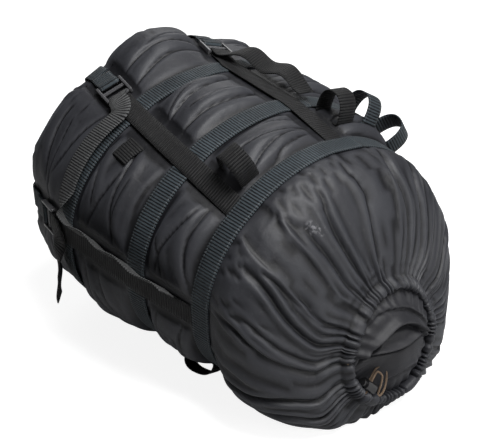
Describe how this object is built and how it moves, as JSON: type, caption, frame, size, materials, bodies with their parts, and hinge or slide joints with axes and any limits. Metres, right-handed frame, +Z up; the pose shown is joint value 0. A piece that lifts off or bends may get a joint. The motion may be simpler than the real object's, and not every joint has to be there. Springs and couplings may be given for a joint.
{
  "type": "compression sack",
  "caption": "Stuffed nylon compression sack lying on its side, with webbing bands, ladder-lock compression straps, loose tails, grab loops and a drawcord mouth with storm flap and cord lock.",
  "frame": {"origin": "on the floor under the middle of the sack", "axes": "+X along the sack towards its drawcord mouth, +Z up, -Y towards the side seen in the picture"},
  "size_m": [0.47, 0.4385, 0.3307],
  "materials": {
    "pack_cloth": "satin",
    "stuffing": "matte",
    "band_webbing": "matte",
    "strap_webbing": "matte",
    "ladder_lock_plastic": "satin",
    "tan_cord": "matte",
    "cord_lock_plastic": "satin",
    "spring_steel": "satin"
  },
  "bodies": {
    "sack": {"sack_tube": "pack_cloth", "mouth_skirt": "pack_cloth", "packed_fill": "stuffing", "front_band": "band_webbing", "storm_flap": "pack_cloth", "drawcord_hem": "pack_cloth", "drawcord": "tan_cord", "drawcord_loop": "tan_cord", "compression_strap_1": "strap_webbing", "compression_strap_2": "strap_webbing", "compression_strap_3": "strap_webbing", "compression_strap_4": "strap_webbing", "compression_strap_5": "strap_webbing", "compression_strap_6": "strap_webbing", "compression_strap_7": "strap_webbing"},
    "base": {"base_cap": "pack_cloth", "lock_stub_1": "band_webbing", "lock_stub_2": "band_webbing", "lock_stub_3": "band_webbing", "lock_stub_4": "band_webbing", "lock_stub_5": "band_webbing", "lock_stub_6": "band_webbing", "lock_stub_7": "band_webbing"},
    "middle_band_body": {"middle_band": "band_webbing"},
    "rear_band_body": {"rear_band": "band_webbing", "lash_tab": "strap_webbing"},
    "lock_1": {"ladder_lock_1": "ladder_lock_plastic", "strap_tail_1": "strap_webbing"},
    "lock_2": {"ladder_lock_2": "ladder_lock_plastic", "strap_tail_2": "strap_webbing"},
    "lock_3": {"ladder_lock_3": "ladder_lock_plastic", "strap_tail_3": "strap_webbing"},
    "lock_4": {"ladder_lock_4": "ladder_lock_plastic", "strap_tail_4": "strap_webbing"},
    "lock_5": {"ladder_lock_5": "ladder_lock_plastic", "strap_tail_5": "strap_webbing"},
    "lock_6": {"ladder_lock_6": "ladder_lock_plastic", "strap_tail_6": "strap_webbing"},
    "lock_7": {"ladder_lock_7": "ladder_lock_plastic", "strap_tail_7": "strap_webbing"},
    "loop_1": {"grab_loop_1": "strap_webbing"},
    "loop_2": {"grab_loop_2": "strap_webbing"},
    "loop_3": {"grab_loop_3": "strap_webbing"},
    "loop_4": {"grab_loop_4": "strap_webbing"},
    "loop_5": {"grab_loop_5": "strap_webbing"},
    "cord_lock": {"cord_lock_barrel": "cord_lock_plastic", "cord_lock_spring": "spring_steel"},
    "cord_lock_button": {"cord_lock_plunger": "cord_lock_plastic"}
  },
  "joints": [
    {"name": "compress", "type": "slide", "parent": "sack", "child": "base", "axis": [1, 0, 0], "range_m": [0, 0.045], "deforming": ["sack_tube", "packed_fill", "compression_strap_1", "compression_strap_2", "compression_strap_3", "compression_strap_4", "compression_strap_5", "compression_strap_6", "compression_strap_7"]},
    {"name": "middle_band_follow", "type": "slide", "parent": "sack", "child": "middle_band_body", "axis": [1, 0, 0], "range_m": [0, 0.014]},
    {"name": "rear_band_follow", "type": "slide", "parent": "sack", "child": "rear_band_body", "axis": [1, 0, 0], "range_m": [0, 0.0315]},
    {"name": "lock_1_tilt", "type": "hinge", "parent": "base", "child": "lock_1", "pos_m": [-0.1594, 0.07261, 0.30984], "axis": [-0.2833, -0.9263, 0.2486], "range_deg": [0, 40], "deforming": ["strap_tail_1"]},
    {"name": "lock_2_tilt", "type": "hinge", "parent": "base", "child": "lock_2", "pos_m": [-0.1594, -0.08434, 0.29911], "axis": [-0.2037, -0.9075, -0.3674], "range_deg": [0, 40], "deforming": ["strap_tail_2"]},
    {"name": "lock_3_tilt", "type": "hinge", "parent": "base", "child": "lock_3", "pos_m": [-0.1594, -0.18734, 0.16411], "axis": [0.0578, -0.0571, -0.9967], "range_deg": [0, 40], "deforming": ["strap_tail_3"]},
    {"name": "lock_4_tilt", "type": "hinge", "parent": "base", "child": "lock_4", "pos_m": [-0.1594, -0.1197, 0.04094], "axis": [0.1938, 0.8324, -0.5192], "range_deg": [0, 40], "deforming": ["strap_tail_4"]},
    {"name": "lock_5_tilt", "type": "hinge", "parent": "base", "child": "lock_5", "pos_m": [-0.1594, 0.04159, 0.01118], "axis": [0.0545, 0.9943, 0.0917], "range_deg": [0, 40], "deforming": ["strap_tail_5"]},
    {"name": "lock_6_tilt", "type": "hinge", "parent": "base", "child": "lock_6", "pos_m": [-0.1594, 0.18153, 0.07669], "axis": [0.0008, 0.6252, 0.7805], "range_deg": [0, 40], "deforming": ["strap_tail_6"]},
    {"name": "lock_7_tilt", "type": "hinge", "parent": "base", "child": "lock_7", "pos_m": [-0.1594, 0.19218, 0.22274], "axis": [0.1503, -0.4567, 0.8768], "range_deg": [0, 40], "deforming": ["strap_tail_7"]},
    {"name": "grab_loop_1_flop", "type": "hinge", "parent": "middle_band_body", "child": "loop_1", "pos_m": [0.04699, 0.08392, 0.27994], "axis": [0.9851, -0.0783, -0.1528], "range_deg": [-20, 20], "stiffness_Nm_per_rad": 0.01},
    {"name": "grab_loop_2_flop", "type": "hinge", "parent": "sack", "child": "loop_2", "pos_m": [0.06146, -0.07387, 0.27234], "axis": [0.9572, -0.0055, -0.2892], "range_deg": [-20, 20], "stiffness_Nm_per_rad": 0.01},
    {"name": "grab_loop_3_flop", "type": "hinge", "parent": "sack", "child": "loop_3", "pos_m": [0.06098, -0.12741, 0.04418], "axis": [0.9591, 0.2749, -0.0667], "range_deg": [-20, 20], "stiffness_Nm_per_rad": 0.01},
    {"name": "grab_loop_4_flop", "type": "hinge", "parent": "middle_band_body", "child": "loop_4", "pos_m": [0.04659, 0.1251, 0.26315], "axis": [0.9962, -0.0806, -0.0339], "range_deg": [-20, 20], "stiffness_Nm_per_rad": 0.01},
    {"name": "grab_loop_5_flop", "type": "hinge", "parent": "sack", "child": "loop_5", "pos_m": [0.0616, 0.15331, 0.23307], "axis": [0.955, -0.2451, -0.1672], "range_deg": [-20, 20], "stiffness_Nm_per_rad": 0.01},
    {"name": "cord_lock_slide", "type": "slide", "parent": "sack", "child": "cord_lock", "axis": [-0.1277, 0.7431, 0.6568], "range_m": [0, 0.008]},
    {"name": "cord_lock_press", "type": "slide", "parent": "cord_lock", "child": "cord_lock_button", "axis": [0.1418, 0.6691, -0.7295], "range_m": [0, 0.003], "stiffness_N_per_m": 350, "springref_m": -0.002, "deforming": ["cord_lock_spring"]}
  ],
  "couplings": [
    {"joint": "middle_band_follow", "follows": "compress", "ratio": 0.3007},
    {"joint": "rear_band_follow", "follows": "compress", "ratio": 0.68881}
  ]
}
